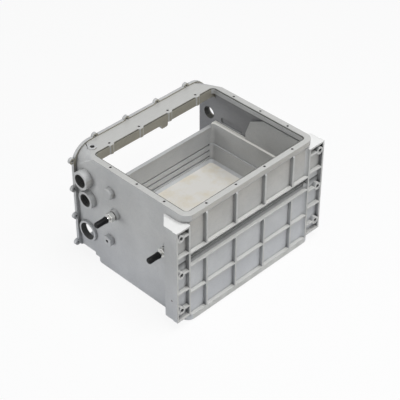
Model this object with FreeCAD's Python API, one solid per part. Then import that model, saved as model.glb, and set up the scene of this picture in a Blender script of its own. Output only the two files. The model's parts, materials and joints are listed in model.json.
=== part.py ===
import FreeCAD, Part
import math
import os

# Water-cooled controller housing: one aluminium die casting, open at the top and at the back,
# with two capped hose nipples screwed into its left side.
# Millimetres. +X runs along the ribbed front, +Y away from it to the open back, +Z up.
# Sizes below are laid out from the middle of the casting in X, from the front plane in Y and
# from the bottom in Z. The finished pieces are then moved so that the origin is the middle of
# the whole part's footprint.

# ---- overall sizes -------------------------------------------------------------------------
BODY_WIDTH = 346.0
BODY_DEPTH = 307.0
BODY_HEIGHT = 256.0
EAR_SPAN = 400.0

# ---- walls and floors ----------------------------------------------------------------------
UPPER_WALL = 7.0
LOWER_WALL = 15.0
FRONT_WALL = 9.7
FRONT_LOWER_WALL = 18.0
FLOOR_TOP = 77.0
FLOOR_THICKNESS = 10.0
FLOOR_CHAMFER = 5.0
LEDGE_DEPTH = 83.0
LEDGE_CHAMFER = 2.5
SIDE_STEP = 3.0
SIDE_STEP_DROP = 52.0
TUB_CORNER_RADIUS = 9.0

# ---- top rim -------------------------------------------------------------------------------
RIM_WIDTH = 14.7
RIM_THICKNESS = 12.0
RIM_FRONT_Y = 2.0
RIM_CORNER_RADIUS = 20.0
RIM_OPENING_RADIUS = 7.0
RIM_SLOPE_HEIGHT = 7.0
REBATE_WIDTH = 2.5
REBATE_DEPTH = 1.5
COVER_HOLE_RADIUS = 2.5
COVER_HOLE_FLOOR = 1.5
COVER_BOSS_RADIUS = 9.0
COVER_PITCH_X = 77.0
COVER_PITCH_Y = 72.0
COVER_SIDE_FIRST_Y = 66.0
COVER_EDGE = 7.3

# ---- ribbed front --------------------------------------------------------------------------
RIB_DEPTH = 7.0
RIB_THICKNESS = 4.0
RIB_PITCH = 78.0
FIELD_CENTRE_X = -5.0
SHELF_THICKNESS = 3.5
MIDDLE_RIB_TOP = 77.0
LIP_DROP = 31.0
SLOT_DROP = 19.0
SLOT_DEPTH = 11.0
SKIRT_TOP = 18.0
BOTTOM_CHAMFER = 5.0
BODY_CORNER_RADIUS = 18.0

# ---- mounting ears -------------------------------------------------------------------------
EAR_BOTTOM = 21.0
EAR_TOP_DROP = 18.5
EAR_DEPTH = 33.0
EAR_FLANGE = 4.0
LEFT_EAR_INNER = -164.5
RIGHT_EAR_INNER = 161.0
EAR_POCKET_DEPTH = 8.0
EAR_HOLE_EDGE = 12.0
EAR_HOLE_RADIUS = 4.3
EAR_BOSS_RADIUS = 8.5
EAR_LOW_MARGIN = 24.8
EAR_HIGH_MARGIN = 18.3
EAR_WEB_THICKNESS = 3.5
EAR_NOTCH_HALF = 9.0
EAR_NOTCH_Y = 36.0
EAR_PAD_DEPTH = 11.0
EAR_PAD_STEP = 1.0

# ---- open back and its flange --------------------------------------------------------------
FLANGE_THICKNESS = 6.5
FLANGE_SIDE = 7.0
FLANGE_LIP = 3.0
FLANGE_TOP_RADIUS = 43.0
FLANGE_BOTTOM_RADIUS = 14.0
BACK_TOP_RADIUS = 38.0
BACK_BOTTOM_RADIUS = 4.0
BACK_CORNER_FILLET = 9.0
BACK_BLEND_LENGTH = 50.0
BEAM_FRONT_Y = 261.5
BEAM_THICKNESS = 21.0
SILL_DROP = 11.0
SILL_THICKNESS = 8.0
BACK_FLOOR_TOP = 29.0
LUG_RADIUS = 6.5
LUG_HOLE_RADIUS = 2.75
LUG_OVERHANG = 2.5
LUG_PITCH_X = 81.3
LUG_BOTTOM_Z = 30.0
LUG_LEFT_TOP_DROP = 25.9
LUG_RIGHT_TOP_DROP = 34.0
WINDOW_RADIUS = 10.0

# ---- side ports and bosses -----------------------------------------------------------------
# each: y, depth below the rim, hole radius, ring width, how far the ring stands out of the wall
LEFT_PORTS = {"upper": (274.0, 55.0, 14.0, 5.5, 16.0),
              "middle": (267.0, 100.0, 13.5, 5.5, 12.0),
              "lower": (274.0, 184.0, 18.5, 4.5, 6.0)}
RIGHT_PORT = (279.0, 72.0, 13.5, 4.5, 8.0)
NIPPLE_DEPTH = 98.0
NIPPLE_YS = (50.0, 193.0)
NIPPLE_BOSS_RADIUS = 12.0
NIPPLE_BOSS_HEIGHT = 7.0
# each: y, depth below the rim
DOME_BOSS = (205.0, 53.0)
DOME_BOSS_RADIUS = 12.0
DOME_BOSS_HEIGHT = 10.0
DOME_BOSS_CHAMFER = 2.5
LUG_BOSS = (211.0, 170.0)
LUG_BOSS_SIDE = 20.0
LUG_BOSS_HEIGHT = 10.0
LUG_BOSS_HOLE_RADIUS = 3.4
BAND_BOSS = (-147.5, 281.0)
BAND_BOSS_RADIUS = 9.0
BAND_BOSS_HEIGHT = 2.0
BAND_BOSS_HOLE_RADIUS = 4.5

# ---- details inside the cavity -------------------------------------------------------------
PAD_THICKNESS = 5.0
PAD_FRONT_Y = 24.0
PAD_BACK_Y = 172.0
PAD_TOP_DROP = 17.0
PAD_CHAMFER_Y = 46.0
RECESS_FRONT_Y = 185.0
RECESS_BACK_Y = 245.0
RECESS_HEIGHT = 15.0
RECESS_DEPTH = 3.0
TAB_CENTRE_X = 23.0
TAB_WIDTH = 18.0
TAB_DROP = 9.0
TAB_CORNER_RADIUS = 4.0
GROOVE_COUNT = 3
GROOVE_PITCH = 15.0
GROOVE_HEIGHT = 4.0
GROOVE_DEPTH = 3.0

# ---- hollow underside ----------------------------------------------------------------------
UNDER_WALL = 10.0
UNDER_RIB_HEIGHT = 8.0
UNDER_RIB_THICKNESS = 5.0
UNDER_CORNER_RADIUS = 12.0

# ---- hose nipple, washer and cap -----------------------------------------------------------
THREAD_RADIUS = 5.0
THREAD_LENGTH = 12.0
THREAD_CLEARANCE = 0.1
WASHER_RADIUS = 10.0
WASHER_THICKNESS = 1.5
HEX_ACROSS_FLATS = 18.0
HEX_LENGTH = 9.5
NECK_LENGTH = 5.5
SPIGOT_RADIUS = 3.6
SPIGOT_LENGTH = 22.0
NIPPLE_BORE_RADIUS = 2.2
CAP_RADIUS = 6.4
CAP_LENGTH = 27.0
CAP_CLEARANCE = 0.1
CAP_BEAD_HEIGHT = 0.6
CAP_BEAD_LENGTH = 3.0

# ---- worked out from the sizes above -------------------------------------------------------
HALF_WIDTH = BODY_WIDTH / 2
HALF_SPAN = EAR_SPAN / 2
UPPER_HALF = HALF_WIDTH - UPPER_WALL
LOWER_HALF = HALF_WIDTH - LOWER_WALL
RIM_HALF = HALF_WIDTH - RIM_WIDTH
INNER_FRONT_Y = RIB_DEPTH + FRONT_WALL
LOWER_FRONT_Y = RIB_DEPTH + FRONT_LOWER_WALL
FLANGE_Y = BODY_DEPTH - FLANGE_THICKNESS
BLEND_START_Y = FLANGE_Y - BACK_BLEND_LENGTH
BEAM_BOTTOM = BODY_HEIGHT - BEAM_THICKNESS
LEDGE_TOP = BODY_HEIGHT - LEDGE_DEPTH
SIDE_STEP_TOP = LEDGE_TOP - SIDE_STEP_DROP
LOW_LIP_TOP = LEDGE_TOP - LIP_DROP
SLOT_BOTTOM = LEDGE_TOP - SLOT_DROP
SILL_TOP = LEDGE_TOP - SILL_DROP
PAD_TOP = BODY_HEIGHT - PAD_TOP_DROP
NIPPLE_Z = BODY_HEIGHT - NIPPLE_DEPTH
SILL_BACK_Y = BEAM_FRONT_Y + SILL_THICKNESS
LOWER_BACK_Y = SILL_BACK_Y - UNDER_WALL
EAR_HOLE_X = HALF_SPAN - EAR_HOLE_EDGE
EAR_TOP = BODY_HEIGHT - EAR_TOP_DROP
EAR_FIRST_Z = EAR_BOTTOM + EAR_LOW_MARGIN
EAR_HOLE_PITCH = (EAR_TOP - EAR_HIGH_MARGIN - EAR_FIRST_Z) / 2
EAR_HOLE_ZS = [EAR_FIRST_Z + row * EAR_HOLE_PITCH for row in range(3)]
RIB_XS = [FIELD_CENTRE_X + (column - 1.5) * RIB_PITCH for column in range(4)]
COVER_XS = [(column - 1.5) * COVER_PITCH_X for column in range(4)]
COVER_SIDE_YS = [COVER_SIDE_FIRST_Y + row * COVER_PITCH_Y for row in range(3)]
LUG_XS = [(column - 1.5) * LUG_PITCH_X for column in range(4)]
LUG_SIDE_X = HALF_WIDTH + FLANGE_SIDE + LUG_OVERHANG
LUG_LEFT_PITCH_Z = (BODY_HEIGHT - LUG_LEFT_TOP_DROP - LUG_BOTTOM_Z) / 3
LUG_RIGHT_PITCH_Z = (BODY_HEIGHT - LUG_RIGHT_TOP_DROP - LUG_BOTTOM_Z) / 3
NIPPLE_FACE_X = -HALF_WIDTH - NIPPLE_BOSS_HEIGHT
HEX_OUTER_X = NIPPLE_FACE_X - WASHER_THICKNESS - HEX_LENGTH
CAP_BASE_X = HEX_OUTER_X - NECK_LENGTH
CAP_TIP_X = CAP_BASE_X - CAP_LENGTH
ORIGIN_SHIFT = FreeCAD.Vector(-(CAP_TIP_X + HALF_SPAN) / 2, -BODY_DEPTH / 2, 0)
OVERSHOOT = 20.0


def vec(x, y, z):
    return FreeCAD.Vector(x, y, z)


def block(x0, x1, y0, y1, z0, z1):
    return Part.makeBox(x1 - x0, y1 - y0, z1 - z0, vec(x0, y0, z0))


def rod(radius, start, end):
    """A cylinder between two points."""
    along = end - start
    return Part.makeCylinder(radius, along.Length, start, along)


def rounded_wire(u0, u1, v0, v1, radii, place):
    """A rectangle with rounded corners, in any plane.

    radii are those of the corners (u0, v0), (u1, v0), (u1, v1) and (u0, v1), with 0 for a
    sharp one, and place turns a point (u, v) of the plane into a point in space.
    """
    corners = [(u0, v0, 1, 1), (u1, v0, -1, 1), (u1, v1, -1, -1), (u0, v1, 1, -1)]
    bends = []
    for index, ((u, v, to_u, to_v), radius) in enumerate(zip(corners, radii)):
        ends = [place(u, v + to_v * radius), place(u + to_u * radius, v)]
        if index % 2:
            ends.reverse()
        inset = radius * (1 - math.sqrt(0.5))
        bends.append((ends[0], place(u + to_u * inset, v + to_v * inset), ends[1]))
    edges = []
    for index, (start, middle, end) in enumerate(bends):
        if radii[index] > 0:
            edges.append(Part.Arc(start, middle, end).toShape())
        edges.append(Part.makeLine(end, bends[(index + 1) % 4][0]))
    return Part.Wire(edges)


def plan_prism(x0, x1, y0, y1, z0, z1, radii):
    wire = rounded_wire(x0, x1, y0, y1, radii, lambda u, v: vec(u, v, z0))
    return Part.Face(wire).extrude(vec(0, 0, z1 - z0))


def front_wire(half_width, y, z0, z1, top_radius, bottom_radius):
    """The outline of a section across the casting, seen from the front."""
    radii = (bottom_radius, bottom_radius, top_radius, top_radius)
    return rounded_wire(-half_width, half_width, z0, z1, radii, lambda u, v: vec(u, y, v))


def profile_x(points, x0, x1):
    """Extrudes a polygon of (y, z) points along X."""
    corners = [vec(x0, y, z) for y, z in points]
    return Part.Face(Part.makePolygon(corners + corners[:1])).extrude(vec(x1 - x0, 0, 0))


def profile_z(points, z0, z1):
    """Extrudes a polygon of (x, y) points along Z."""
    corners = [vec(x, y, z0) for x, y in points]
    return Part.Face(Part.makePolygon(corners + corners[:1])).extrude(vec(0, 0, z1 - z0))


def fused(shapes):
    return shapes[0].multiFuse(shapes[1:]).removeSplitter()


def outer_body():
    """The outside of the casting without its ears, flange and bosses."""
    corner = BODY_CORNER_RADIUS
    skirt = plan_prism(-HALF_WIDTH, HALF_WIDTH, 0, LOWER_BACK_Y, 0, SKIRT_TOP, [corner] * 4)
    bottom_edges = [edge for edge in skirt.Edges if edge.BoundBox.ZMax < SKIRT_TOP / 2]
    skirt = skirt.makeChamfer(BOTTOM_CHAMFER, bottom_edges)
    link = plan_prism(-HALF_WIDTH, HALF_WIDTH, RIB_DEPTH, LOWER_BACK_Y, SKIRT_TOP - 1,
                      LEDGE_TOP, (corner, corner, 0, 0))
    slope_top = BODY_HEIGHT - RIM_THICKNESS + 1
    slope_bottom = slope_top - RIM_SLOPE_HEIGHT
    wall_radii = (corner, corner, 0, 0)
    rim_radii = (RIM_CORNER_RADIUS, RIM_CORNER_RADIUS, 0, 0)
    walls = plan_prism(-HALF_WIDTH, HALF_WIDTH, RIB_DEPTH, BLEND_START_Y, LEDGE_TOP,
                       slope_bottom, wall_radii)
    under = rounded_wire(-HALF_WIDTH, HALF_WIDTH, RIB_DEPTH, BLEND_START_Y, wall_radii,
                         lambda u, v: vec(u, v, slope_bottom))
    over = rounded_wire(-HALF_WIDTH, HALF_WIDTH, RIM_FRONT_Y, BLEND_START_Y, rim_radii,
                        lambda u, v: vec(u, v, slope_top))
    slope = Part.makeLoft([under, over], True, True)
    rim = plan_prism(-HALF_WIDTH, HALF_WIDTH, RIM_FRONT_Y, BLEND_START_Y, slope_top,
                     BODY_HEIGHT, rim_radii)
    return [skirt, link, walls, slope, rim, back_section(), rear_corner()]


def back_section():
    """The part in front of the flange, whose upper corners round off towards it."""
    wire = front_wire(HALF_WIDTH, BLEND_START_Y - 1, EAR_BOTTOM, BODY_HEIGHT, 0,
                      BACK_BOTTOM_RADIUS)
    section = Part.Face(wire).extrude(vec(0, FLANGE_Y + 1 - BLEND_START_Y, 0))
    length = FLANGE_Y - BLEND_START_Y
    for side in (-1, 1):
        tip = vec(side * HALF_WIDTH, BLEND_START_Y, BODY_HEIGHT)
        past = 1 + 1 / length
        along = vec(-side * BACK_TOP_RADIUS, length, -BACK_TOP_RADIUS) * past
        spread = BACK_TOP_RADIUS * past / along.Length
        reach = along.Length * 1.5
        round_corner = Part.makeCone(0, reach * spread / math.sqrt(1 - spread ** 2), reach, tip, along)
        across = tip + vec(-side * BACK_TOP_RADIUS, length, 0) * past
        down = tip + vec(0, length, -BACK_TOP_RADIUS) * past
        end = tip + vec(0, length, 0) * past
        section = section.cut(pyramid(tip, across, end, down).cut(round_corner))
    return section


def pyramid(tip, *base):
    """A solid with three base points and a tip."""
    faces = [base, (tip, base[0], base[1]), (tip, base[1], base[2]), (tip, base[2], base[0])]
    sides = [Part.Face(Part.makePolygon(list(face) + [face[0]])) for face in faces]
    return Part.makeSolid(Part.makeShell(sides))


def rear_corner():
    """Concave rounding where the underside of the back section meets the skirt's back."""
    radius = BACK_CORNER_FILLET
    y, z = LOWER_BACK_Y, EAR_BOTTOM
    bend = radius * (1 - math.sqrt(0.5))
    half = HALF_WIDTH - BODY_CORNER_RADIUS
    arc = Part.Arc(vec(-half, y + radius, z), vec(-half, y + bend, z - bend),
                   vec(-half, y, z - radius)).toShape()
    rest = [vec(-half, y, z - radius), vec(-half, y - 1, z - radius), vec(-half, y - 1, z + 1),
            vec(-half, y + radius, z + 1), vec(-half, y + radius, z)]
    sides = [Part.makeLine(start, end) for start, end in zip(rest, rest[1:])]
    return Part.Face(Part.Wire([arc] + sides)).extrude(vec(2 * half, 0, 0))


def flange():
    """The flange round the open back, with its screw lugs."""
    half = HALF_WIDTH + FLANGE_SIDE
    wire = front_wire(half, FLANGE_Y, EAR_BOTTOM - FLANGE_LIP, BODY_HEIGHT + FLANGE_LIP,
                      FLANGE_TOP_RADIUS, FLANGE_BOTTOM_RADIUS)
    plate = Part.Face(wire).extrude(vec(0, FLANGE_THICKNESS, 0))
    return [plate] + [rod(LUG_RADIUS, start, end) for start, end in lug_axes()]


def lug_places():
    places = [(x, z) for z in (BODY_HEIGHT + FLANGE_LIP, EAR_BOTTOM) for x in LUG_XS]
    for x, pitch in ((-LUG_SIDE_X, LUG_LEFT_PITCH_Z), (LUG_SIDE_X, LUG_RIGHT_PITCH_Z)):
        places += [(x, LUG_BOTTOM_Z + row * pitch) for row in range(4)]
    return places


def lug_axes():
    return [(vec(x, FLANGE_Y, z), vec(x, BODY_DEPTH, z)) for x, z in lug_places()]


def ear(side, inner_x):
    """One mounting ear: a block with a slanted back, its front pocketed between webs."""
    outline = [(side * HALF_SPAN, EAR_PAD_DEPTH), (side * HALF_SPAN, 0), (inner_x, 0),
               (inner_x, INNER_FRONT_Y), (side * LOWER_HALF, EAR_DEPTH),
               (side * HALF_WIDTH, EAR_DEPTH + HALF_SPAN - HALF_WIDTH),
               (side * (HALF_SPAN - EAR_PAD_STEP), EAR_DEPTH),
               (side * (HALF_SPAN - EAR_PAD_STEP), EAR_PAD_DEPTH)]
    solid = profile_z(outline, EAR_BOTTOM, EAR_TOP)
    pocket_x = sorted((side * (HALF_SPAN - EAR_FLANGE), inner_x + side * EAR_FLANGE))
    pocket = block(pocket_x[0], pocket_x[1], -1, EAR_POCKET_DEPTH,
                   EAR_BOTTOM + EAR_FLANGE, EAR_TOP - EAR_FLANGE)
    solid = solid.cut(pocket)
    webs = []
    web_count = 2 * len(EAR_HOLE_ZS) - 1
    for index in range(web_count):
        middle = EAR_HOLE_ZS[0] + index * EAR_HOLE_PITCH / 2
        webs.append(block(pocket_x[0] - 1, pocket_x[1] + 1, 0, EAR_POCKET_DEPTH + 1,
                          middle - EAR_WEB_THICKNESS / 2, middle + EAR_WEB_THICKNESS / 2))
    for z in EAR_HOLE_ZS:
        webs.append(rod(EAR_BOSS_RADIUS, vec(side * EAR_HOLE_X, 0, z),
                        vec(side * EAR_HOLE_X, EAR_POCKET_DEPTH + 1, z)))
    return fused([solid] + webs)


def ear_holes():
    cuts = []
    for side in (-1, 1):
        x = side * EAR_HOLE_X
        for z in EAR_HOLE_ZS:
            cuts.append(rod(EAR_HOLE_RADIUS, vec(x, -1, z), vec(x, EAR_NOTCH_Y + 1, z)))
            inside, outside = sorted((x - side * EAR_NOTCH_HALF, side * (HALF_SPAN + 1)))
            cuts.append(block(inside, outside, EAR_NOTCH_Y, EAR_DEPTH + HALF_SPAN - HALF_WIDTH,
                              z - EAR_NOTCH_HALF, z + EAR_NOTCH_HALF))
    return cuts


def front_ribs():
    """Upright and level ribs of the front, with the rounded cheeks beside the ears."""
    left, right = LEFT_EAR_INNER, RIGHT_EAR_INNER - EAR_FLANGE
    root = RIB_DEPTH + 1
    rim_under = BODY_HEIGHT - RIM_THICKNESS + 1
    pieces = []
    for x in RIB_XS:
        x0, x1 = x - RIB_THICKNESS / 2, x + RIB_THICKNESS / 2
        pieces.append(block(x0, x1, 0, root, SKIRT_TOP - 1, LOW_LIP_TOP))
        upper = [(0, LEDGE_TOP - 1), (root, LEDGE_TOP - 1), (root, rim_under),
                 (RIM_FRONT_Y, rim_under), (0, rim_under - RIM_SLOPE_HEIGHT / 2)]
        pieces.append(profile_x(upper, x0, x1))
    for top in (MIDDLE_RIB_TOP, LOW_LIP_TOP, LEDGE_TOP):
        pieces.append(block(left - 1, right + 1, 0, root, top - SHELF_THICKNESS, top))
    cheek_top = rim_under - RIM_SLOPE_HEIGHT
    for inner, towards in ((left, 1), (right, -1)):
        arc = Part.Arc(vec(inner + towards * RIB_DEPTH, RIB_DEPTH, SKIRT_TOP - 1),
                       vec(inner + towards * RIB_DEPTH * (1 - math.sqrt(0.5)),
                           RIB_DEPTH * math.sqrt(0.5), SKIRT_TOP - 1),
                       vec(inner, 0, SKIRT_TOP - 1)).toShape()
        back = [vec(inner, 0, SKIRT_TOP - 1), vec(inner - towards, 0, SKIRT_TOP - 1),
                vec(inner - towards, root, SKIRT_TOP - 1),
                vec(inner + towards * RIB_DEPTH, root, SKIRT_TOP - 1),
                vec(inner + towards * RIB_DEPTH, RIB_DEPTH, SKIRT_TOP - 1)]
        sides = [Part.makeLine(a, b) for a, b in zip(back, back[1:])]
        cheek = Part.Face(Part.Wire([arc] + sides))
        pieces.append(cheek.extrude(vec(0, 0, cheek_top - SKIRT_TOP)))
    return pieces


def front_slot():
    return block(LEFT_EAR_INNER, RIGHT_EAR_INNER - EAR_FLANGE, -1, RIB_DEPTH + SLOT_DEPTH,
                 SLOT_BOTTOM, LEDGE_TOP - SHELF_THICKNESS)


def cavity_cuts():
    """The inside: rim opening, wide upper part, narrower tub and the open back."""
    top = BODY_HEIGHT + OVERSHOOT
    past_back = BODY_DEPTH + OVERSHOOT
    rim_under = BODY_HEIGHT - RIM_THICKNESS
    opening = plan_prism(-RIM_HALF, RIM_HALF, INNER_FRONT_Y, BEAM_FRONT_Y, rim_under - 1, top,
                         [RIM_OPENING_RADIUS] * 4)
    rebate = plan_prism(-RIM_HALF - REBATE_WIDTH, RIM_HALF + REBATE_WIDTH,
                        INNER_FRONT_Y - REBATE_WIDTH, BEAM_FRONT_Y + REBATE_WIDTH,
                        BODY_HEIGHT - REBATE_DEPTH, top,
                        [RIM_OPENING_RADIUS + REBATE_WIDTH] * 4)
    upper = plan_prism(-UPPER_HALF, UPPER_HALF, INNER_FRONT_Y, BEAM_FRONT_Y, LEDGE_TOP,
                       rim_under, [TUB_CORNER_RADIUS, TUB_CORNER_RADIUS, 0, 0])
    tub = plan_prism(-LOWER_HALF, LOWER_HALF, LOWER_FRONT_Y, BEAM_FRONT_Y, SIDE_STEP_TOP,
                     LEDGE_TOP + 1, [TUB_CORNER_RADIUS] * 4)
    low = rounded_wire(-LOWER_HALF, LOWER_HALF, LOWER_FRONT_Y, BEAM_FRONT_Y,
                       [TUB_CORNER_RADIUS] * 4, lambda u, v: vec(u, v, LEDGE_TOP - LEDGE_CHAMFER))
    high = rounded_wire(-LOWER_HALF - LEDGE_CHAMFER, LOWER_HALF + LEDGE_CHAMFER,
                        LOWER_FRONT_Y - LEDGE_CHAMFER, BEAM_FRONT_Y, [TUB_CORNER_RADIUS] * 4,
                        lambda u, v: vec(u, v, LEDGE_TOP))
    ledge_edge = Part.makeLoft([low, high], True, True)
    pit_half = LOWER_HALF - SIDE_STEP
    pit_bottom = FLOOR_TOP + FLOOR_CHAMFER
    pit = plan_prism(-pit_half, pit_half, LOWER_FRONT_Y, BEAM_FRONT_Y, pit_bottom,
                     SIDE_STEP_TOP + 1, [TUB_CORNER_RADIUS] * 4)
    low = rounded_wire(-pit_half + FLOOR_CHAMFER, pit_half - FLOOR_CHAMFER,
                       LOWER_FRONT_Y + FLOOR_CHAMFER, BEAM_FRONT_Y - FLOOR_CHAMFER,
                       [TUB_CORNER_RADIUS] * 4, lambda u, v: vec(u, v, FLOOR_TOP))
    high = rounded_wire(-pit_half, pit_half, LOWER_FRONT_Y, BEAM_FRONT_Y,
                        [TUB_CORNER_RADIUS] * 4, lambda u, v: vec(u, v, pit_bottom))
    floor_edge = Part.makeLoft([low, high], True, True)
    radii = [WINDOW_RADIUS] * 4
    over_sill = rounded_wire(-UPPER_HALF, UPPER_HALF, SILL_TOP, BEAM_BOTTOM,
                             (0, 0, WINDOW_RADIUS, WINDOW_RADIUS),
                             lambda u, v: vec(u, BEAM_FRONT_Y - 1, v))
    window = Part.Face(over_sill).extrude(vec(0, past_back - BEAM_FRONT_Y, 0))
    bay = rounded_wire(-UPPER_HALF, UPPER_HALF, BACK_FLOOR_TOP, BEAM_BOTTOM, radii,
                       lambda u, v: vec(u, SILL_BACK_Y, v))
    behind = Part.Face(bay).extrude(vec(0, past_back - SILL_BACK_Y, 0))
    return [opening, rebate, upper, tub, ledge_edge, pit, floor_edge, window, behind]


def sill_grooves():
    """Level grooves across the wall below the sill."""
    cuts = []
    for index in range(GROOVE_COUNT):
        top = SIDE_STEP_TOP - index * GROOVE_PITCH
        cuts.append(block(-LOWER_HALF + TUB_CORNER_RADIUS, LOWER_HALF - TUB_CORNER_RADIUS,
                          BEAM_FRONT_Y - 1, BEAM_FRONT_Y + GROOVE_DEPTH,
                          top - GROOVE_HEIGHT, top))
    return cuts


def underside_cut():
    """The open hollow below the floor, with low ribs left standing on its ceiling."""
    half = HALF_WIDTH - UNDER_WALL
    ceiling = FLOOR_TOP - FLOOR_THICKNESS
    y0, y1 = UNDER_WALL, LOWER_BACK_Y - UNDER_WALL
    hollow = plan_prism(-half, half, y0, y1, -1, ceiling, [UNDER_CORNER_RADIUS] * 4)
    ribs = []
    for x in RIB_XS:
        ribs.append(block(x - UNDER_RIB_THICKNESS / 2, x + UNDER_RIB_THICKNESS / 2,
                          y0, y1, ceiling - UNDER_RIB_HEIGHT, ceiling))
    for share in (1, 2):
        y = y0 + share * (y1 - y0) / 3
        ribs.append(block(-half, half, y - UNDER_RIB_THICKNESS / 2,
                          y + UNDER_RIB_THICKNESS / 2, ceiling - UNDER_RIB_HEIGHT, ceiling))
    return hollow.cut(fused(ribs))


def cover_hole_places():
    front_y = INNER_FRONT_Y - COVER_EDGE
    back_y = BEAM_FRONT_Y + COVER_EDGE
    side_x = RIM_HALF + COVER_EDGE
    row = [(x, y) for y in (front_y, back_y) for x in COVER_XS]
    return row + [(side * side_x, y) for side in (-1, 1) for y in COVER_SIDE_YS]


def inner_details():
    """The pad of the right wall, the tab and the screw bosses of the back beam."""
    outline = [(PAD_FRONT_Y, LEDGE_TOP - 1), (PAD_BACK_Y, LEDGE_TOP - 1),
               (PAD_BACK_Y, LEDGE_TOP + 15), (PAD_BACK_Y - 12, PAD_TOP - 18),
               (PAD_BACK_Y - PAD_CHAMFER_Y, PAD_TOP), (PAD_FRONT_Y, PAD_TOP)]
    pad = profile_x(outline, UPPER_HALF - PAD_THICKNESS, UPPER_HALF + 1)
    half = TAB_WIDTH / 2
    wire = rounded_wire(TAB_CENTRE_X - half, TAB_CENTRE_X + half, BEAM_BOTTOM - TAB_DROP,
                        BEAM_BOTTOM + 1, (TAB_CORNER_RADIUS, TAB_CORNER_RADIUS, 0, 0),
                        lambda u, v: vec(u, BEAM_FRONT_Y, v))
    bosses = [rod(COVER_BOSS_RADIUS, vec(x, BEAM_FRONT_Y + COVER_EDGE, BEAM_BOTTOM),
                  vec(x, BEAM_FRONT_Y + COVER_EDGE, BODY_HEIGHT)) for x in COVER_XS]
    return [pad, Part.Face(wire).extrude(vec(0, SILL_THICKNESS, 0))] + bosses


def port_ring(side, y, depth, hole_radius, ring, height):
    wall = side * HALF_WIDTH
    z = BODY_HEIGHT - depth
    return rod(hole_radius + ring, vec(wall - side * UPPER_WALL / 2, y, z),
               vec(wall + side * height, y, z))


def port_hole(side, y, depth, hole_radius, ring, height):
    wall = side * HALF_WIDTH
    z = BODY_HEIGHT - depth
    return rod(hole_radius, vec(wall - side * (UPPER_WALL + 1), y, z),
               vec(wall + side * (height + 1), y, z))


def side_bosses():
    pieces = []
    for port in LEFT_PORTS.values():
        pieces.append(port_ring(-1, *port))
    pieces.append(port_ring(1, *RIGHT_PORT))
    root = -HALF_WIDTH + UPPER_WALL / 2
    for y in NIPPLE_YS:
        pieces.append(rod(NIPPLE_BOSS_RADIUS, vec(root, y, NIPPLE_Z),
                          vec(NIPPLE_FACE_X, y, NIPPLE_Z)))
    y, z = DOME_BOSS[0], BODY_HEIGHT - DOME_BOSS[1]
    face = -HALF_WIDTH - DOME_BOSS_HEIGHT
    dome = rod(DOME_BOSS_RADIUS, vec(root, y, z), vec(face, y, z))
    rim = [edge for edge in dome.Edges if abs(edge.BoundBox.XMax - face) < 0.01]
    pieces.append(dome.makeChamfer(DOME_BOSS_CHAMFER, rim))
    y, z = LUG_BOSS[0], BODY_HEIGHT - LUG_BOSS[1]
    half = LUG_BOSS_SIDE / 2
    wire = rounded_wire(y - half, y + half, z - half, z + half, [half / 2] * 4,
                        lambda u, v: vec(root, u, v))
    reach = -HALF_WIDTH - LUG_BOSS_HEIGHT - root
    pieces.append(Part.Face(wire).extrude(vec(reach, 0, 0)))
    return pieces


def drilled_holes():
    """Every hole made after casting."""
    cuts = []
    for port in LEFT_PORTS.values():
        cuts.append(port_hole(-1, *port))
    cuts.append(port_hole(1, *RIGHT_PORT))
    depth = THREAD_LENGTH + 2
    for y in NIPPLE_YS:
        cuts.append(rod(NIPPLE_BOSS_RADIUS, vec(-HALF_SPAN, y, NIPPLE_Z),
                        vec(NIPPLE_FACE_X, y, NIPPLE_Z)))
        cuts.append(rod(THREAD_RADIUS, vec(NIPPLE_FACE_X - 1, y, NIPPLE_Z),
                        vec(NIPPLE_FACE_X + depth, y, NIPPLE_Z)))
    y, z = LUG_BOSS[0], BODY_HEIGHT - LUG_BOSS[1]
    face = -HALF_WIDTH - LUG_BOSS_HEIGHT
    cuts.append(rod(LUG_BOSS_HOLE_RADIUS, vec(face - 1, y, z), vec(face + 16, y, z)))
    cover_hole_bottom = BODY_HEIGHT - RIM_THICKNESS + COVER_HOLE_FLOOR
    for x, y in cover_hole_places():
        cuts.append(rod(COVER_HOLE_RADIUS, vec(x, y, cover_hole_bottom),
                        vec(x, y, BODY_HEIGHT + 1)))
    for start, end in lug_axes():
        cuts.append(rod(LUG_HOLE_RADIUS, start - vec(0, 1, 0), end + vec(0, 1, 0)))
    x, y = BAND_BOSS
    cuts.append(rod(BAND_BOSS_HOLE_RADIUS, vec(x, y, BODY_HEIGHT - 12),
                    vec(x, y, BODY_HEIGHT + BAND_BOSS_HEIGHT + 1)))
    return cuts + ear_holes()


def wall_recess():
    """The shallow long recess above the ledge of the right wall."""
    half = RECESS_HEIGHT / 2
    z0 = LEDGE_TOP + 1
    wire = rounded_wire(RECESS_FRONT_Y, RECESS_BACK_Y, z0, z0 + RECESS_HEIGHT, [half * 0.9] * 4,
                        lambda u, v: vec(UPPER_HALF - 1, u, v))
    return Part.Face(wire).extrude(vec(RECESS_DEPTH + 1, 0, 0))


def housing():
    x, y = BAND_BOSS
    band_boss = rod(BAND_BOSS_RADIUS, vec(x, y, BODY_HEIGHT - 10),
                    vec(x, y, BODY_HEIGHT + BAND_BOSS_HEIGHT))
    outside = fused(outer_body() + flange() + front_ribs() + side_bosses() + [band_boss]
                    + [ear(-1, LEFT_EAR_INNER), ear(1, RIGHT_EAR_INNER - EAR_FLANGE)])
    shell = outside
    for cut in cavity_cuts() + sill_grooves() + [front_slot(), underside_cut(), wall_recess()]:
        shell = shell.cut(cut)
    shell = fused([shell] + inner_details())
    for cut in drilled_holes():
        shell = shell.cut(cut)
    return shell


def turned(profile, y, z):
    """Revolves (x, radius) points about the nipple's axis."""
    corners = [vec(x, y + radius, z) for x, radius in profile]
    face = Part.Face(Part.makePolygon(corners + corners[:1]))
    return face.revolve(vec(0, y, z), vec(1, 0, 0), 360)


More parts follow.
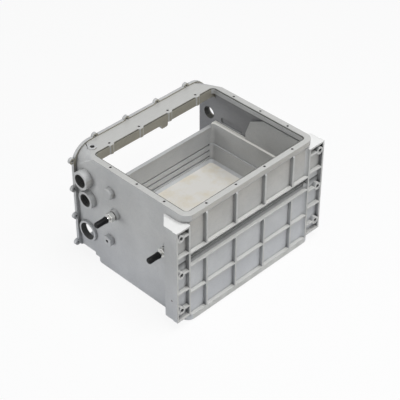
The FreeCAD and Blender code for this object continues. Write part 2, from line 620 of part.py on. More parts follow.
def nipple(y):
    """Threaded hose nipple: shank, hexagon and spigot, bored right through."""
    z = NIPPLE_Z
    shank = THREAD_RADIUS - THREAD_CLEARANCE
    tip = CAP_BASE_X - SPIGOT_LENGTH
    bore = NIPPLE_BORE_RADIUS
    step = NIPPLE_FACE_X - WASHER_THICKNESS - 1
    body = turned([(NIPPLE_FACE_X + THREAD_LENGTH, bore), (NIPPLE_FACE_X + THREAD_LENGTH, shank),
                   (step, shank), (step, SPIGOT_RADIUS), (tip, SPIGOT_RADIUS), (tip, bore)], y, z)
    across = HEX_ACROSS_FLATS / math.sqrt(3)
    corners = [vec(HEX_OUTER_X, y + across * math.cos(math.radians(60 * k)),
                   z + across * math.sin(math.radians(60 * k))) for k in range(7)]
    hexagon = Part.Face(Part.makePolygon(corners)).extrude(vec(HEX_LENGTH, 0, 0))
    hexagon = hexagon.cut(rod(bore, vec(HEX_OUTER_X - 1, y, z), vec(HEX_OUTER_X + 20, y, z)))
    return body.fuse(hexagon).removeSplitter()


def washer(y):
    z = NIPPLE_Z
    outer = NIPPLE_FACE_X - WASHER_THICKNESS
    ring = rod(WASHER_RADIUS, vec(outer, y, z), vec(NIPPLE_FACE_X, y, z))
    return ring.cut(rod(THREAD_RADIUS, vec(outer - 1, y, z), vec(NIPPLE_FACE_X + 1, y, z)))


def cap(y):
    """Soft push-on cap, closed at the outer end, with a bead round its mouth."""
    z = NIPPLE_Z
    bore = SPIGOT_RADIUS + CAP_CLEARANCE
    bottom = CAP_BASE_X - SPIGOT_LENGTH - 1
    bead = CAP_RADIUS + CAP_BEAD_HEIGHT
    bead_end = CAP_BASE_X - CAP_BEAD_LENGTH
    return turned([(CAP_BASE_X, bore), (CAP_BASE_X, bead), (bead_end, bead),
                   (bead_end, CAP_RADIUS), (CAP_TIP_X, CAP_RADIUS), (CAP_TIP_X, 0),
                   (bottom, 0), (bottom, bore)], y, z)


def write(name, shape):
    shape.translate(ORIGIN_SHIFT)
    shape.exportStep("parts/" + name + ".step")


os.makedirs("parts", exist_ok=True)
write("housing", housing())
for label, place_y in zip(("front", "rear"), NIPPLE_YS):
    write(label + "_nipple", nipple(place_y))
    write(label + "_washer", washer(place_y))
    write(label + "_cap", cap(place_y))
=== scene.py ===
# %% [markdown]
# # A die cast housing, dressed for its picture
# The housing is one big aluminium casting: an open tub with a flat rim, ears to hold it,
# ribs on its front and round ports in its side. Two plated hose nipples are screwed into
# it, each with a soft black cap. The solids come from the CAD frame and stay where they
# are. This script gives them their finishes and adds the fine pieces: the threads of the
# ports, and the turned edges of the nipples, the caps and the washers.

# %% Load the frame
import json
import math

import bpy
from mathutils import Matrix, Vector


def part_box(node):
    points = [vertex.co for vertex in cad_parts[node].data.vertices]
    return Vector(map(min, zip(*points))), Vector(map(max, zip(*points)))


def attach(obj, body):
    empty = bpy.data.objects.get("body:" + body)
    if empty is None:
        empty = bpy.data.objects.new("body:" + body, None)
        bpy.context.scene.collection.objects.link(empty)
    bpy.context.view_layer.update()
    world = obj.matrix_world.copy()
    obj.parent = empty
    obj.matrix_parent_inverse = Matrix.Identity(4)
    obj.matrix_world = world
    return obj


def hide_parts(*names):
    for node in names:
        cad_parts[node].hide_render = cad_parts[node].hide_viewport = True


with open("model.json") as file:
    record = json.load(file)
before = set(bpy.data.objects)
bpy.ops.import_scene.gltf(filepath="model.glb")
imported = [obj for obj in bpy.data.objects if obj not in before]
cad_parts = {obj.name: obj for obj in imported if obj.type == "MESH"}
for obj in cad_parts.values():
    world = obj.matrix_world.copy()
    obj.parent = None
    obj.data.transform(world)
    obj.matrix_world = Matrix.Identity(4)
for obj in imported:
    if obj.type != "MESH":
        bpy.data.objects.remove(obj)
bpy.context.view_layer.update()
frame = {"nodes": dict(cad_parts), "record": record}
mounts = {mount["name"]: mount for mount in frame["record"]["mounts"]}
print("nodes:", ", ".join(sorted(frame["nodes"])))
print("mounts:", len(mounts))

# %% [markdown]
# ## Building a finish out of nodes
# A finish is a small graph: where on the part a point lies, some noise that depends on
# that place, and one shader at the end. Writing the same three lines for every node makes
# the graph hard to read, so one helper adds a node, sets its options and fills its
# sockets. A socket takes either a plain value or the output of another node.

# %% A helper that adds one node
def add(tree, kind, sockets=None, **options):
    node = tree.nodes.new(kind)
    for name, value in options.items():
        setattr(node, name, value)
    for key, value in (sockets or {}).items():
        socket = node.inputs[key]
        if isinstance(value, bpy.types.NodeSocket):
            tree.links.new(value, socket)
        else:
            socket.default_value = value
    return node


def new_finish(name):
    """An empty material with its output and the place of each point on the part."""
    finish = bpy.data.materials.new(name)
    finish.use_nodes = True
    tree = finish.node_tree
    tree.nodes.clear()
    output = add(tree, "ShaderNodeOutputMaterial")
    place = add(tree, "ShaderNodeTexCoord").outputs["Object"]
    return finish, tree, output, place


print("node helpers ready")

# %% [markdown]
# ## Numbers that vary over the surface
# Noise gives every point a number. Stretching it and doing sums with it turn that number
# into a share, and the share mixes two colours. Each of these steps is one short helper.

# %% Helpers for noise, sums and colours
def noise(tree, place, scale, detail=3.0, rough=0.5):
    """Noise of so many grains a metre, from 0 to 1."""
    node = add(tree, "ShaderNodeTexNoise", {"Vector": place, "Scale": scale, "Detail": detail,
                                            "Roughness": rough})
    return node.outputs["Fac"]


def between(tree, value, low, high, out_low=0.0, out_high=1.0):
    """Stretches value from low..high to out_low..out_high and stops at both ends."""
    node = add(tree, "ShaderNodeMapRange", {"Value": value, "From Min": low, "From Max": high,
                                            "To Min": out_low, "To Max": out_high})
    return node.outputs["Result"]


def maths(tree, operation, first, second=0.0):
    node = add(tree, "ShaderNodeMath", {0: first, 1: second}, operation=operation)
    return node.outputs[0]


def mix_colour(tree, share, first, second, blend="MIX"):
    """Goes from first to second as share goes from 0 to 1."""
    node = add(tree, "ShaderNodeMix", {0: share, 6: first, 7: second},
               data_type="RGBA", blend_type=blend)
    return node.outputs[2]


def toned(tree, share, colour, tint):
    """The colour times the tint, by the given share."""
    return mix_colour(tree, share, colour, tint, "MULTIPLY")


def grey(tree, value):
    """The same value for red, green and blue."""
    node = add(tree, "ShaderNodeCombineColor", {"Red": value, "Green": value, "Blue": value})
    return node.outputs["Color"]


print("colour helpers ready")

# %% [markdown]
# ## Masks
# A mask is a number that is 1 on one part of the surface and 0 elsewhere. Simple ones
# compare a height or a direction with a limit. Multiplied together, they are 1 only
# where all of them are, so a few of them can pick out a single face.

# %% Helpers for masks
def more(tree, value, limit):
    """1 where value is more than limit, else 0."""
    return maths(tree, "GREATER_THAN", value, limit)


def less(tree, value, limit):
    """1 where value is less than limit, else 0."""
    return maths(tree, "LESS_THAN", value, limit)


def near(tree, value, target, width):
    """1 where value is within width of target, else 0."""
    distance = maths(tree, "ABSOLUTE", maths(tree, "SUBTRACT", value, target))
    return less(tree, distance, width)


def every(tree, *masks):
    """1 where all the masks are 1, else 0."""
    shared = masks[0]
    for mask in masks[1:]:
        shared = maths(tree, "MULTIPLY", shared, mask)
    return shared


def from_line(tree, xyz, y, z):
    """How far each point is from the line along X through y and z."""
    flat = add(tree, "ShaderNodeCombineXYZ", {"Y": xyz["Y"], "Z": xyz["Z"]}).outputs[0]
    node = add(tree, "ShaderNodeVectorMath", {0: flat, 1: (0, y, z)}, operation="DISTANCE")
    return node.outputs["Value"]


print("mask helpers ready")

# %% [markdown]
# ## Bare cast aluminium
# Most of the housing is as it left the blasting booth: a dull silver grey, with a fine
# sandy grain that scatters the light. Only the top rim, the faces of the ears and the
# back flange are machined, so they are smoother.
#
# Which face is machined can be told from its place and its direction, so the finish reads
# both. That keeps one material on one casting, with no seams. Heights are measured down
# from the rim, and depths back from the faces of the ears.

# %% Places on the casting
rim_z = mounts["cover_face"]["pos_m"][2]
back_y = mounts["rear_flange_face"]["pos_m"][1]
ear_y = mounts["ear_face"]["pos_m"][1]
ledge_z = rim_z - 0.083
floor_z = rim_z - 0.179
slot_z = rim_z - 0.108
ear_top_z = rim_z - 0.0185
rebate_z = rim_z - 0.0015
beam_low_z = rim_z - 0.04
rib_high_z = rim_z - 0.02
lip_y = ear_y + 0.004
rib_back_y = ear_y + 0.012
tub_front_y = ear_y + 0.020
BEAM_Y = 0.09
WINDOW_Y = 0.10
RIGHT_WALL_X = 0.173
RIGHT_PART_X = 0.10
LEFT_WALL_X = -0.15
ON_FACE = 0.0004
SQUARE = 0.95
print("rim at", round(rim_z * 1000, 1), "mm, back at", round(back_y * 1000, 1), "mm")

# %% Find the machined faces by place and direction
cast, tree, output, place = new_finish("shot-blasted aluminium")
xyz = add(tree, "ShaderNodeSeparateXYZ", {"Vector": place}).outputs
geometry = add(tree, "ShaderNodeNewGeometry").outputs
facing = add(tree, "ShaderNodeSeparateXYZ", {"Vector": geometry["True Normal"]}).outputs
up = more(tree, facing["Z"], SQUARE)
front = less(tree, facing["Y"], -SQUARE)
back = more(tree, facing["Y"], SQUARE)
on_rim = every(tree, up, near(tree, xyz["Z"], rim_z, ON_FACE))
on_ears = every(tree, front, near(tree, xyz["Y"], ear_y, ON_FACE))
on_flange = every(tree, back, near(tree, xyz["Y"], back_y, ON_FACE))
machined = maths(tree, "MAXIMUM", on_rim, maths(tree, "MAXIMUM", on_ears, on_flange))
print("machined: rim, ears and flange")

# %% [markdown]
# ### The colour of the bare metal
# Blasted metal isn't even. Noise of three sizes makes it so: clouds as wide as a palm,
# patches as wide as a thumbnail and pits of about two millimetres. Each only moves the
# grey a little. A fourth, finer grain is kept for the bumps.

# %% Mix the bare metal
clouds = noise(tree, place, 14.0, 4.0, 0.6)
patches = noise(tree, place, 55.0, 5.0, 0.62)
grain = noise(tree, place, 1500.0, 2.0, 0.6)
pits = noise(tree, place, 420.0, 3.0, 0.7)
as_cast = mix_colour(tree, between(tree, clouds, 0.32, 0.68), (0.47, 0.475, 0.475, 1),
                     (0.56, 0.565, 0.56, 1))
as_cast = mix_colour(tree, between(tree, patches, 0.45, 0.75, 0.0, 0.5), as_cast,
                     (0.43, 0.44, 0.45, 1))
speckled = mix_colour(tree, between(tree, pits, 0.56, 0.70, 0.0, 0.45), as_cast,
                      (0.34, 0.345, 0.35, 1))
print("bare metal mixed")

# %% [markdown]
# ### Painted light and stains on the floor
# The floor of the tub is painted pale, as painted light from above, and has thin beige stains with
# a soft edge, as die lubricant leaves.
# They are kept to faces that look up, lie at the floor's height and are inside the tub.

# %% Paint light and stains on the floor
on_floor = every(tree, up, near(tree, xyz["Z"], floor_z, 0.002), more(tree, xyz["Y"], tub_front_y))
stain = between(tree, noise(tree, place, 24.0, 5.0, 0.65), 0.42, 0.62)
# Painted light: the whole floor is paler than the bare metal. The beige stains on it are the
# floor's own.
floor_painted_light_and_stains = mix_colour(tree, stain, (0.74, 0.72, 0.67, 1), (0.70, 0.65, 0.54, 1))
coloured = mix_colour(tree, on_floor, speckled, floor_painted_light_and_stains)
print("floor stained")

# %% [markdown]
# ### Painted shade and light, then the machined faces
# The upper front is painted a little darker and warmer, as painted shade, and the casting
# is painted slightly paler and bluer towards its foot, as painted light. The machined faces
# come after, so they cover both. Their fine cutter marks run along X, because the noise
# behind them is squeezed along Y.

# %% Tone the outside and lay on the machined faces
# Painted shade: the upper front is made darker and warmer.
front_painted_shade = maths(tree, "MULTIPLY", front, between(tree, xyz["Z"], 0.15, 0.23))
coloured = toned(tree, front_painted_shade, coloured, (0.88, 0.85, 0.80, 1))
# Painted light: the casting is made paler and bluer towards its foot.
foot_painted_light = between(tree, xyz["Z"], 0.17, 0.02)
coloured = toned(tree, foot_painted_light, coloured, (1.06, 1.07, 1.11, 1))
squeezed = add(tree, "ShaderNodeMapping", {"Vector": place, "Scale": (1, 40, 1)}).outputs[0]
cut_marks = noise(tree, squeezed, 60.0, 2.0)
bright = mix_colour(tree, between(tree, cut_marks, 0.3, 0.7), (0.48, 0.48, 0.465, 1),
                    (0.56, 0.56, 0.545, 1))
coloured = mix_colour(tree, machined, coloured, bright)
print("outside toned")

# %% [markdown]
# ### Painted light and shade inside the tub
# The right wall gets painted shade above the ledge and beside the back window. The rebate
# round the opening gets painted shade as a nearly black line, the ledge has a painted
# highlight on the edge of its right part, and the face of the back beam gets painted
# shade, a little darker and warmer.

# %% Tone the inside
# Painted shade on the right wall, above the ledge and beside the back window.
right_wall = every(tree, more(tree, xyz["X"], RIGHT_WALL_X), less(tree, facing["X"], -0.9))
right_wall_painted_shade = maths(tree, "MAXIMUM", more(tree, xyz["Z"], ledge_z), more(tree, xyz["Y"], WINDOW_Y))
coloured = toned(tree, every(tree, right_wall, right_wall_painted_shade), coloured, (0.52, 0.52, 0.54, 1))
# Painted shade: the rebate round the opening is a nearly black line.
rebate_painted_shade = every(tree, up, near(tree, xyz["Z"], rebate_z, ON_FACE))
coloured = mix_colour(tree, rebate_painted_shade, coloured, (0.07, 0.07, 0.06, 1))
# Painted highlight on the edge of the right part of the ledge.
ledge_painted_highlight = every(tree, near(tree, xyz["Z"], ledge_z - 0.0012, 0.0016),
                   more(tree, facing["Z"], 0.2), more(tree, xyz["X"], RIGHT_PART_X),
                   more(tree, xyz["Y"], tub_front_y))
coloured = mix_colour(tree, ledge_painted_highlight, coloured, (0.80, 0.79, 0.75, 1))
# Painted shade on the face of the back beam, a little darker and warmer.
beam_painted_shade = every(tree, front, more(tree, xyz["Y"], BEAM_Y), more(tree, xyz["Z"], beam_low_z))
coloured = toned(tree, beam_painted_shade, coloured, (0.78, 0.76, 0.68, 1))
print("inside toned")

# %% [markdown]
# ### Painted shade in the ports
# The insides of the ports get painted shade. The wall of a port is all the metal within
# its radius of the port's own line, over the length of the port. The frame's mounts give
# the line, the radius and the length.

# %% Darken the insides of the ports
for name in ("left_port_upper", "left_port_middle", "left_port_lower", "right_port"):
    port_x, port_y, port_z = mounts[name]["pos_m"]
    half = mounts[name]["dims"]["length_mm"] / 2000 + 0.001
    radius = mounts[name]["dims"]["r_mm"] / 1000 + ON_FACE
    # Painted shade inside each port.
    inside = every(tree, less(tree, from_line(tree, xyz, port_y, port_z), radius),
                   near(tree, xyz["X"], port_x, half))
    coloured = toned(tree, inside, coloured, (0.22, 0.22, 0.21, 1))
    print(name, "darkened")

# %% [markdown]
# ### The painted shadow below the slot, and the pin mark
# Below the slot, the shadow of the upper lip is painted on. The strip is dark at its top
# and fades downwards, and noise makes its edge uneven. On the left side a round mark shows
# where an ejector pin pushed the casting out of its die.

# %% Draw the painted lip shadow and the pin mark
# Painted shadow of the upper lip on the strip below the slot.
under_lip = every(tree, front, more(tree, xyz["Y"], lip_y), near(tree, xyz["Z"], slot_z, 0.0062),
                  less(tree, xyz["Y"], rib_back_y))
shadow_edge = maths(tree, "ADD", xyz["Z"], maths(tree, "MULTIPLY", patches, 0.004))
lip_painted_shadow = between(tree, shadow_edge, slot_z - 0.004, slot_z + 0.006, 0.85, 0.22)
coloured = toned(tree, under_lip, coloured, grey(tree, lip_painted_shadow))
PIN_Y, PIN_Z, PIN_RADIUS = -0.138, 0.068, 0.0022
pin_mark = every(tree, less(tree, from_line(tree, xyz, PIN_Y, PIN_Z), PIN_RADIUS),
                 less(tree, xyz["X"], LEFT_WALL_X))
coloured = toned(tree, pin_mark, coloured, (0.35, 0.31, 0.32, 1))
print("painted lip shadow and pin mark drawn")

# %% [markdown]
# ### Painted light on the tops, painted shade in the corners
# The level tops of the ribs and the ears are painted paler, as painted light. The corners
# get painted shade. Ambient occlusion says how closed in a point is: near 1 in the open,
# and lower in a corner. It is read over 50 mm for the wide hollows and over 18 mm for the
# narrow ones. Level faces are left out, so that ledges and tops don't get this shade.

# %% Lighten the tops and darken the corners
# Painted light on the level tops of the ribs and the ears.
rib_tops_painted_light = every(tree, up, less(tree, xyz["Y"], rib_back_y), less(tree, xyz["Z"], rib_high_z))
coloured = mix_colour(tree, rib_tops_painted_light, coloured, (0.62, 0.62, 0.60, 1))
ear_tops_painted_light = every(tree, up, near(tree, xyz["Z"], ear_top_z, ON_FACE))
coloured = mix_colour(tree, ear_tops_painted_light, coloured, (0.80, 0.80, 0.79, 1))
# Painted shade in the corners, read from ambient occlusion.
wide = add(tree, "ShaderNodeAmbientOcclusion", {"Distance": 0.05}, samples=8, only_local=True)
narrow = add(tree, "ShaderNodeAmbientOcclusion", {"Distance": 0.018}, samples=8, only_local=True)
corners = maths(tree, "MULTIPLY", between(tree, wide.outputs["AO"], 0.20, 0.70, 0.70, 1.0),
                between(tree, narrow.outputs["AO"], 0.15, 0.70, 0.38, 1.0))
level = between(tree, facing["Z"], 0.80, 0.97)
coloured = toned(tree, 1.0, coloured, grey(tree, maths(tree, "MAXIMUM", corners, level)))
print("tops and corners done")

# %% [markdown]
# ### Grain and edges
# The sandy skin is a bump: grain and pits give its height, and it nearly vanishes on the
# machined faces. The Bevel node rounds sharp edges in the shading only.

# %% Finish the casting
height = maths(tree, "ADD", maths(tree, "MULTIPLY", grain, 0.55),
               maths(tree, "MULTIPLY", pits, 0.6))
strength = between(tree, machined, 0.0, 1.0, 0.55, 0.08)
edges = add(tree, "ShaderNodeBevel", {"Radius": 0.0012}, samples=6)
bump = add(tree, "ShaderNodeBump", {"Strength": strength, "Distance": 0.0003, "Height": height,
                                    "Normal": edges.outputs["Normal"]})
roughness = between(tree, machined, 0.0, 1.0, 0.58, 0.46)
shader = add(tree, "ShaderNodeBsdfPrincipled", {"Base Color": coloured, "Metallic": 0.2,
                                                "Roughness": roughness,
                                                "Normal": bump.outputs["Normal"]})
tree.links.new(shader.outputs["BSDF"], output.inputs["Surface"])
housing = frame["nodes"]["housing"]
housing.data.materials.clear()
housing.data.materials.append(cast)
print("housing finished with", cast.name)

# %% [markdown]
# ## Zinc plate and rubber
# The nipples are turned steel with a thin bright zinc coat. The washers and the caps are
# rubber: the washer dense and matt, the cap blacker, with a slight sheen.

# %% Zinc plate
zinc, tree, output, place = new_finish("zinc plated steel")
tone = mix_colour(tree, noise(tree, place, 160.0, 3.0), (0.62, 0.62, 0.60, 1),
                  (0.80, 0.80, 0.78, 1))
bump = add(tree, "ShaderNodeBump", {"Strength": 0.15, "Distance": 0.0001,
                                    "Height": noise(tree, place, 2200.0, 2.0)})
shader = add(tree, "ShaderNodeBsdfPrincipled", {"Base Color": tone, "Metallic": 1.0,
                                                "Roughness": 0.27,
                                                "Normal": bump.outputs["Normal"]})
tree.links.new(shader.outputs["BSDF"], output.inputs["Surface"])
print(zinc.name)

# %% Rubber for the caps and the washers
def rubber(name, dark, light, rough, shine):
    finish, tree, output, place = new_finish(name)
    tone = mix_colour(tree, noise(tree, place, 260.0, 4.0), dark, light)
    bump = add(tree, "ShaderNodeBump", {"Strength": 0.25, "Distance": 0.0002,
                                        "Height": noise(tree, place, 1400.0, 3.0)})
    shader = add(tree, "ShaderNodeBsdfPrincipled", {"Base Color": tone, "Roughness": rough,
                                                    "Specular IOR Level": shine,
                                                    "Normal": bump.outputs["Normal"]})
    tree.links.new(shader.outputs["BSDF"], output.inputs["Surface"])
    return finish


cap_rubber = rubber("soft black rubber", (0.004, 0.004, 0.005, 1), (0.010, 0.010, 0.011, 1),
                    0.34, 0.18)
seal_rubber = rubber("dense grey rubber", (0.05, 0.05, 0.05, 1), (0.09, 0.09, 0.09, 1),
                     0.6, 0.4)
print(cap_rubber.name, "and", seal_rubber.name)

# %% [markdown]
# ## Turned pieces
# A nipple, a washer and a cap are all round about one line, as if turned on a lathe. One
# ring of points is added where the piece starts. It is then pulled along the line and
# scaled to each new radius, so the wall grows behind it the way a potter pulls up clay.
# A spin would do the same from a drawn half profile, but the ring shows each step.
#
# A finished piece keeps its object at the origin, so its place is baked into its points
# before any shaping starts.

# %% A helper that pulls a ring along the X axis
def start_ring(name, place, radius, sides):
    bpy.ops.object.select_all(action="DESELECT")
    bpy.ops.mesh.primitive_circle_add(vertices=sides, radius=radius, location=place,
                                      rotation=(0, math.pi / 2, 0))
    piece = bpy.context.object
    piece.name = name
    bpy.ops.object.transform_apply(location=True, rotation=True, scale=True)
    bpy.ops.object.mode_set(mode="EDIT")
    bpy.ops.mesh.select_all(action="SELECT")
    return piece


def pull_ring(centre, profile):
    """Pulls the selected ring through each (x, radius) of the profile after the first."""
    x, radius = profile[0]
    for next_x, next_radius in profile[1:]:
        step = {"value": (next_x - x, 0, 0)}
        bpy.ops.mesh.extrude_region_move(TRANSFORM_OT_translate=step)
        grow = next_radius / radius
        bpy.ops.transform.resize(value=(1, grow, grow),
                                 center_override=(next_x, centre.y, centre.z))
        x, radius = next_x, next_radius


def end_piece(piece, finish):
    """Joins doubled points, turns all faces outwards and hangs the piece on the frame."""
    bpy.ops.mesh.select_all(action="SELECT")
    bpy.ops.mesh.remove_doubles(threshold=0.00001)
    bpy.ops.mesh.normals_make_consistent(inside=False)
    bpy.ops.object.mode_set(mode="OBJECT")
    bpy.ops.object.shade_smooth_by_angle(angle=math.radians(35))
    piece.data.materials.append(finish)
    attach(piece, "root")
    print(piece.name, len(piece.data.polygons), "faces")


def middle(node):
    low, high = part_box(node)
    return (Vector(low) + Vector(high)) / 2


print("lathe ready")

# %% [markdown]
# ## The soft caps
# Each cap is a little rubber thimble pushed over the nipple's spigot. Its closed end is
# rounded, its mouth has a thicker bead for the fingers, and the wall between is very
# slightly waisted. The profile starts at the middle of the closed end and just turns in
# at the mouth, where it meets the spigot. The inside can't be seen, so it isn't drawn.

# %% Make the caps
BEAD_HEIGHT = 0.0006
TIP_DISC = 0.0006

for side in ("front", "rear"):
    low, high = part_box(side + "_cap")
    centre = middle(side + "_cap")
    tip, mouth = low[0], high[0]
    radius = (high[1] - low[1]) / 2
    body = radius - BEAD_HEIGHT
    profile = [(tip, TIP_DISC), (tip, body * 0.55), (tip + 0.0003, body * 0.75),
               (tip + 0.0010, body * 0.90), (tip + 0.0020, body * 0.975), (tip + 0.0034, body),
               (tip + 0.0120, body * 0.975), (mouth - 0.0048, body * 0.985),
               (mouth - 0.0040, radius - 0.0001), (mouth - 0.0034, radius),
               (mouth - 0.0008, radius), (mouth - 0.0002, radius - 0.0003),
               (mouth, radius - 0.0008), (mouth, 0.0040), (mouth - 0.0004, 0.0037)]
    cap = start_ring(side + "_cap_skin", (tip, centre.y, centre.z), TIP_DISC, 56)
    bpy.ops.mesh.edge_face_add()
    bpy.ops.mesh.select_all(action="SELECT")
    pull_ring(centre, profile)
    end_piece(cap, cap_rubber)
    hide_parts(side + "_cap")

# %% [markdown]
# ## The nipples
# Real nipples are turned from hexagon bar. The corners of the hexagon are chamfered where
# the lathe tool ran off them. Here a six-sided ring gives the flats, and it is drawn in
# a little at both ends, which stands for those chamfers.

# %% Make the hexagons
HEX_LENGTH = 0.0095


def hexagon(side):
    """The chamfered hexagon, from the washer's outer face outwards."""
    low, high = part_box(side + "_nipple")
    centre = middle(side + "_nipple")
    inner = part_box(side + "_washer")[0][0]
    outer = inner - HEX_LENGTH
    reach = (high[1] - low[1]) / 2
    outer_reach = reach - 0.0010
    inner_reach = reach - 0.0007
    cut = 0.0011
    piece = start_ring(side + "_hexagon", (outer, centre.y, centre.z), outer_reach, 6)
    bpy.ops.transform.rotate(value=math.radians(30), orient_axis="X",
                             center_override=(outer, centre.y, centre.z))
    bpy.ops.mesh.edge_face_add()
    pull_ring(centre, [(outer, outer_reach), (outer + cut * 0.6, reach),
                       (inner - cut * 0.4, reach), (inner, inner_reach)])
    bpy.ops.mesh.edge_face_add()
    return piece


for side in ("front", "rear"):
    piece = hexagon(side)
    end_piece(piece, zinc)
    print(side, [round(v * 1000, 1) for v in piece.dimensions])

# %% [markdown]
# The rest of the nipple is one turned profile: the spigot's tip inside the cap, the bare
# neck with its shallow groove, and the shank, with the bore through its middle. The shank
# is hidden in the casting, so it is left smooth, with no thread.

# %% Make the turned bodies
BORE = 0.0022
SPIGOT = 0.0036
NECK = 0.0046
GROOVE = 0.0040

for side in ("front", "rear"):
    low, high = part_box(side + "_nipple")
    centre = middle(side + "_nipple")
    hex_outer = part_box(side + "_washer")[0][0] - HEX_LENGTH
    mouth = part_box(side + "_cap")[1][0]
    profile = [(low[0], BORE), (low[0], 0.0030), (low[0] + 0.0012, SPIGOT),
               (mouth + 0.0006, SPIGOT), (mouth + 0.0010, 0.0044), (mouth + 0.0018, NECK),
               (hex_outer - 0.0012, NECK), (hex_outer - 0.0008, GROOVE),
               (hex_outer + 0.0010, GROOVE), (hex_outer + 0.0080, NECK),
               (high[0] - 0.0010, NECK), (high[0], GROOVE), (high[0], BORE), (low[0], BORE)]
    body = start_ring(side + "_nipple_body", (low[0], centre.y, centre.z), BORE, 56)
    pull_ring(centre, profile)
    end_piece(body, zinc)
    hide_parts(side + "_nipple")

# %% [markdown]
# ## The washers
# A sealing washer is a flat rubber ring. Squeezed under the hexagon, it swells a little
# at its rim, so its outer wall is round and not square.

# %% Make the washers
WASHER_BORE = 0.0051

for side in ("front", "rear"):
    low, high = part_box(side + "_washer")
    centre = middle(side + "_washer")
    radius = (high[1] - low[1]) / 2
    half = (high[0] - low[0]) / 2
    profile = [(low[0], WASHER_BORE), (low[0], radius - 0.0006),
               (low[0] + half * 0.35, radius - 0.0001), (low[0] + half, radius),
               (high[0] - half * 0.35, radius - 0.0001), (high[0], radius - 0.0006),
               (high[0], WASHER_BORE), (low[0], WASHER_BORE)]
    ring = start_ring(side + "_washer_ring", (low[0], centre.y, centre.z), WASHER_BORE, 64)
    pull_ring(centre, profile)
    end_piece(ring, seal_rubber)
    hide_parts(side + "_washer")

# %% [markdown]
# ## Threads in the ports
# Three of the ports are tapped for cable glands. A thread is one ridge that climbs round the
# bore, so its outline is drawn once, as a small triangle, and the Screw modifier carries
# it round and along at the same time. The triangle's base is sunk in the metal, so no
# gap shows under it.

# %% Cut the port threads
THREAD_PITCH = 0.0016
THREAD_HEIGHT = 0.0007
SUNK = 0.0002


def thread(name, mount, depth, start, pitch, height):
    """One ridge round a mount's bore, from start along X for the given depth."""
    centre = Vector(mount["pos_m"])
    radius = mount["dims"]["r_mm"] / 1000
    bpy.ops.object.select_all(action="DESELECT")
    bpy.ops.mesh.primitive_circle_add(vertices=3, radius=pitch * 0.4, fill_type="NOTHING",
                                      location=(start, 0, radius), rotation=(math.pi / 2, 0, 0))
    piece = bpy.context.object
    piece.name = name
    bpy.ops.object.transform_apply(location=True, rotation=True, scale=True)
    lowest = min(vertex.co.z for vertex in piece.data.vertices)
    highest = max(vertex.co.z for vertex in piece.data.vertices)
    for vertex in piece.data.vertices:
        share = (vertex.co.z - lowest) / (highest - lowest)
        crest = share < 0.5
        vertex.co.z = radius - height if crest else radius + SUNK
    screw = piece.modifiers.new("climb", "SCREW")
    screw.axis = "X"
    screw.steps = 48
    screw.render_steps = 48
    screw.screw_offset = pitch
    screw.iterations = int(depth / pitch)
    bpy.ops.object.modifier_apply(modifier=screw.name)
    piece.location = (0, centre.y, centre.z)
    bpy.ops.object.transform_apply(location=True, rotation=True, scale=True)
    bpy.ops.object.mode_set(mode="EDIT")
    bpy.ops.mesh.select_all(action="SELECT")
    bpy.ops.mesh.fill_holes(sides=0)
    end_piece(piece, cast)


for name in ("left_port_upper", "left_port_middle", "right_port"):
    mount = mounts[name]
    length = mount["dims"]["length_mm"] / 1000
    start = mount["pos_m"][0] - length / 2 + 0.0012
    thread(name + "_thread", mount, length - 0.0044, start, THREAD_PITCH, THREAD_HEIGHT)

# %% [markdown]
# ## Floor, light and camera
# The housing stands on a plain pale floor under soft studio light: a wide lamp overhead
# that brightens every level face, a weaker one low down on the left and behind, and a
# faint one low down in front. Most of what the camera sees of the floor is plain white,
# and the rest is lit, so the floor still shows a shadow.

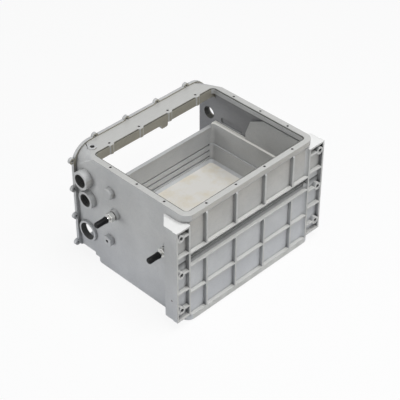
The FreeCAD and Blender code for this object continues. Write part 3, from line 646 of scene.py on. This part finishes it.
# %% Floor
bpy.ops.object.select_all(action="DESELECT")
bpy.ops.mesh.primitive_plane_add(size=14.0, location=(0, 0, 0))
floor = bpy.context.object
floor.name = "floor"
pale, tree, output, _ = new_finish("pale floor")
light_path = add(tree, "ShaderNodeLightPath").outputs
matt = add(tree, "ShaderNodeBsdfDiffuse", {"Color": (0.82, 0.82, 0.82, 1)})
white = add(tree, "ShaderNodeEmission", {"Color": (1, 1, 1, 1), "Strength": 1.0})
share = maths(tree, "MULTIPLY", light_path["Is Camera Ray"], 0.90)
mixed = add(tree, "ShaderNodeMixShader", {0: share, 1: matt.outputs[0], 2: white.outputs[0]})
tree.links.new(mixed.outputs[0], output.inputs["Surface"])
floor.data.materials.append(pale)
print("floor laid")

# %% World
world = bpy.data.worlds.new("studio")
bpy.context.scene.world = world
world.use_nodes = True
tree = world.node_tree
tree.nodes.clear()
light_path = add(tree, "ShaderNodeLightPath").outputs
seen = maths(tree, "MAXIMUM", light_path["Is Camera Ray"],
             maths(tree, "MAXIMUM", light_path["Is Glossy Ray"],
                   light_path["Is Transmission Ray"]))
soft = add(tree, "ShaderNodeBackground", {"Color": (0.93, 0.96, 1.0, 1), "Strength": 0.20})
clear = add(tree, "ShaderNodeBackground", {"Color": (1, 1, 1, 1), "Strength": 1.0})
mixed = add(tree, "ShaderNodeMixShader", {0: seen, 1: soft.outputs[0], 2: clear.outputs[0]})
add(tree, "ShaderNodeOutputWorld", {"Surface": mixed.outputs[0]})
print("world set")

# %% Lamps
def lamp(name, place, aim, size, power):
    light = bpy.data.lights.new(name, "AREA")
    light.size = size
    light.energy = power
    holder = bpy.data.objects.new(name, light)
    holder.location = place
    holder.rotation_euler = (Vector(aim) - Vector(place)).to_track_quat("-Z", "Y").to_euler()
    bpy.context.scene.collection.objects.link(holder)
    print(name, power, "W")


lamp("overhead", (0.10, -0.70, 2.3), (0, 0, 0.10), 1.3, 42.0)
lamp("left and behind", (-2.3, 0.9, 0.25), (0, 0, 0.12), 0.9, 20.0)
lamp("front", (0.8, -2.4, 0.3), (0, 0, 0.10), 1.2, 13.5)

# %% Camera
eye = bpy.data.cameras.new("camera")
eye.sensor_width = 36.0
eye.lens = 117.49
holder = bpy.data.objects.new("camera", eye)
holder.location = (-1.4071, -1.4272, 1.71375)
holder.rotation_euler = (math.radians(51.57), 0, math.radians(-45.10))
bpy.context.scene.collection.objects.link(holder)
bpy.context.scene.camera = holder
bpy.context.scene.view_settings.view_transform = "Standard"
print("camera placed")
